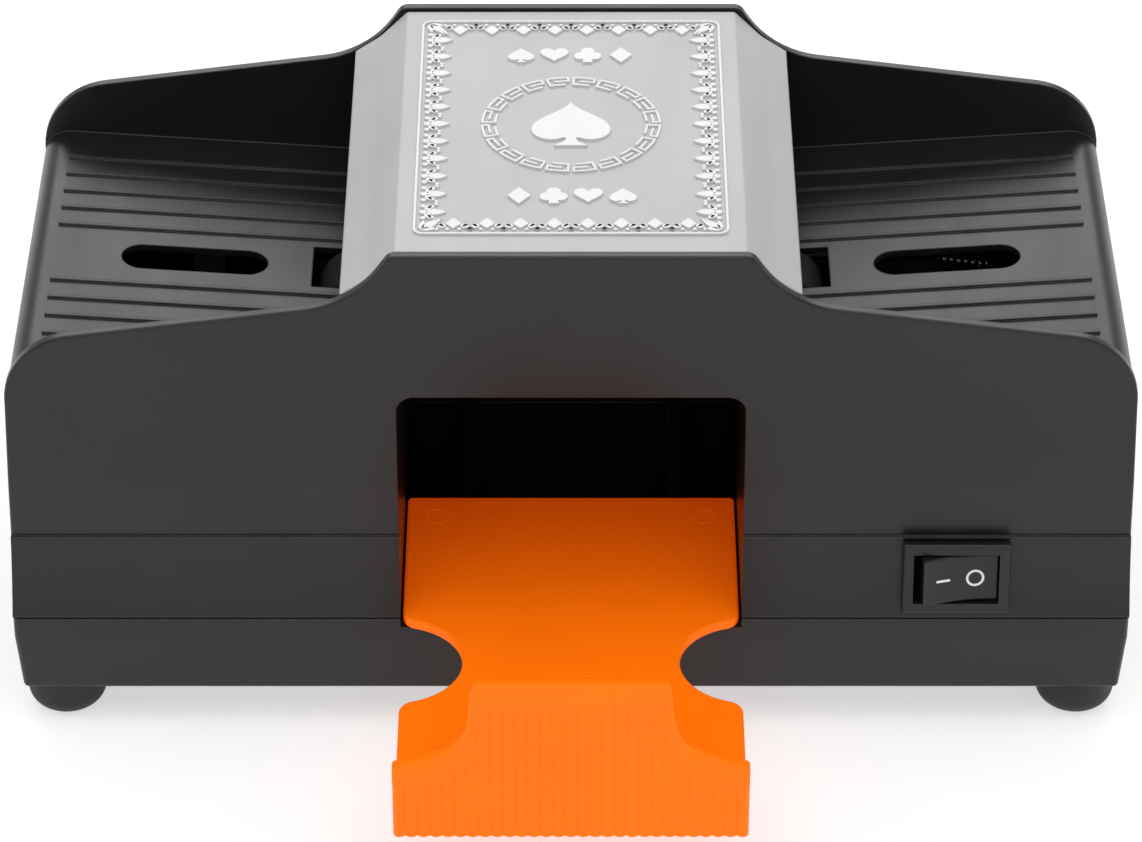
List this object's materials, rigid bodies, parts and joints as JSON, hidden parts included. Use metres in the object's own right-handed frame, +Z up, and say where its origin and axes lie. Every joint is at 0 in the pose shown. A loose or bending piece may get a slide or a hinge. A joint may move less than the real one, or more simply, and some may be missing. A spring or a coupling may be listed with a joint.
{
  "type": "automatic card shuffler",
  "caption": "Battery-powered card shuffler: two sloping hoppers with rubber feed rollers, a silver cover, a centre bay, a slide-out tray and a rocker switch.",
  "frame": {"origin": "centre of the footprint of the whole object with its tray drawn out as stored, on the plane that the feet stand on", "axes": "+X to the right along the two hoppers (the longest extent), +Y to the back, +Z up"},
  "size_m": [0.2184, 0.145, 0.1096],
  "materials": {
    "housing_plastic": "fine satin ABS",
    "cover_silver": "silver satin plastic with a raised ornament",
    "tray_orange": "glossy orange plastic",
    "switch_black": "black nylon",
    "foot_rubber": "moulded rubber",
    "tyre_rubber": "ground rubber",
    "screw_steel": "zinc-plated",
    "shaft_steel": "ground steel",
    "spring_steel": "drawn wire",
    "bush_brass": "sintered bronze",
    "terminal_brass": "machined brass",
    "gear_nylon": "natural nylon",
    "hub_plastic": "moulded plastic",
    "arm_plastic": "moulded plastic",
    "motor_steel": "drawn steel can",
    "magnet_ferrite": "ferrite",
    "rotor_copper": "copper winding on a steel core",
    "contact_nickel": "nickel-plated"
  },
  "bodies": {
    "root": {"upper_housing": "housing_plastic", "top_cover": "cover_silver", "base_casing": "housing_plastic", "foot_front_left": "foot_rubber", "foot_front_right": "foot_rubber", "foot_back_left": "foot_rubber", "foot_back_right": "foot_rubber", "case_screws": "screw_steel", "switch_body": "switch_black", "switch_terminals": "terminal_brass", "arm_pivot_right": "shaft_steel", "feed_spring_right": "spring_steel", "separator_pad_right": "tyre_rubber", "battery_contacts_right": "contact_nickel", "battery_springs_right": "contact_nickel", "arm_pivot_left": "shaft_steel", "feed_spring_left": "spring_steel", "separator_pad_left": "tyre_rubber", "battery_contacts_left": "contact_nickel", "battery_springs_left": "contact_nickel"},
    "card_tray": {"card_tray": "tray_orange"},
    "switch_rocker": {"switch_rocker": "switch_black"},
    "battery_door_right": {"battery_door_right": "housing_plastic"},
    "feed_arm_right": {"feed_arm_right": "arm_plastic", "roller_bushes_right": "bush_brass", "idler_axle_right": "shaft_steel", "motor_can_right": "motor_steel", "motor_cap_right": "arm_plastic", "motor_magnets_right": "magnet_ferrite", "motor_screws_right": "screw_steel"},
    "feed_roller_right": {"roller_hub_right": "hub_plastic", "roller_tyre_right": "tyre_rubber", "roller_shaft_right": "shaft_steel", "roller_gear_right": "gear_nylon"},
    "idler_right": {"idler_gear_right": "gear_nylon"},
    "motor_spindle_right": {"motor_rotor_right": "rotor_copper", "motor_pinion_right": "terminal_brass"},
    "battery_door_left": {"battery_door_left": "housing_plastic"},
    "feed_arm_left": {"feed_arm_left": "arm_plastic", "roller_bushes_left": "bush_brass", "idler_axle_left": "shaft_steel", "motor_can_left": "motor_steel", "motor_cap_left": "arm_plastic", "motor_magnets_left": "magnet_ferrite", "motor_screws_left": "screw_steel"},
    "feed_roller_left": {"roller_hub_left": "hub_plastic", "roller_tyre_left": "tyre_rubber", "roller_shaft_left": "shaft_steel", "roller_gear_left": "gear_nylon"},
    "idler_left": {"idler_gear_left": "gear_nylon"},
    "motor_spindle_left": {"motor_rotor_left": "rotor_copper", "motor_pinion_left": "terminal_brass"}
  },
  "joints": [
    {"name": "tray_slide", "type": "slide", "parent": "root", "child": "card_tray", "axis": [0, 1, 0], "range_m": [-0.036, 0.0428]},
    {"name": "switch_rock", "type": "hinge", "parent": "root", "child": "switch_rocker", "pos_m": [0.0749, -0.02382, 0.03628], "axis": [0, -0.1444, -0.9895], "range_deg": [0, 24]},
    {"name": "battery_door_right_slide", "type": "slide", "parent": "root", "child": "battery_door_right", "axis": [1, 0, 0], "range_m": [0, 0.045]},
    {"name": "feed_arm_right_pivot", "type": "hinge", "parent": "root", "child": "feed_arm_right", "pos_m": [0.072, 0.02305, 0.064], "axis": [0, -1, 0], "range_deg": [0, 1.6], "stiffness_Nm_per_rad": 0.06, "springref_deg": -14.32},
    {"name": "feed_roller_right_spin", "type": "hinge", "parent": "feed_arm_right", "child": "feed_roller_right", "pos_m": [0.0426, 0.02305, 0.0695], "axis": [0, 1, 0], "continuous": true},
    {"name": "idler_right_spin", "type": "hinge", "parent": "feed_arm_right", "child": "idler_right", "pos_m": [0.04565, 0.02305, 0.0632], "axis": [0, 1, 0], "continuous": true},
    {"name": "motor_right_spin", "type": "hinge", "parent": "feed_arm_right", "child": "motor_spindle_right", "pos_m": [0.0575, 0.02305, 0.0592], "axis": [0, 1, 0], "continuous": true},
    {"name": "battery_door_left_slide", "type": "slide", "parent": "root", "child": "battery_door_left", "axis": [-1, 0, 0], "range_m": [0, 0.045]},
    {"name": "feed_arm_left_pivot", "type": "hinge", "parent": "root", "child": "feed_arm_left", "pos_m": [-0.072, 0.02305, 0.064], "axis": [0, 1, 0], "range_deg": [0, 1.6], "stiffness_Nm_per_rad": 0.06, "springref_deg": -14.32},
    {"name": "feed_roller_left_spin", "type": "hinge", "parent": "feed_arm_left", "child": "feed_roller_left", "pos_m": [-0.0426, 0.02305, 0.0695], "axis": [0, -1, 0], "continuous": true},
    {"name": "idler_left_spin", "type": "hinge", "parent": "feed_arm_left", "child": "idler_left", "pos_m": [-0.04565, 0.02305, 0.0632], "axis": [0, -1, 0], "continuous": true},
    {"name": "motor_left_spin", "type": "hinge", "parent": "feed_arm_left", "child": "motor_spindle_left", "pos_m": [-0.0575, 0.02305, 0.0592], "axis": [0, -1, 0], "continuous": true}
  ],
  "couplings": [
    {"joint": "idler_right_spin", "follows": "motor_right_spin", "ratio": -0.25},
    {"joint": "feed_roller_right_spin", "follows": "motor_right_spin", "ratio": 0.1875},
    {"joint": "idler_left_spin", "follows": "motor_left_spin", "ratio": -0.25},
    {"joint": "feed_roller_left_spin", "follows": "motor_left_spin", "ratio": 0.1875}
  ]
}
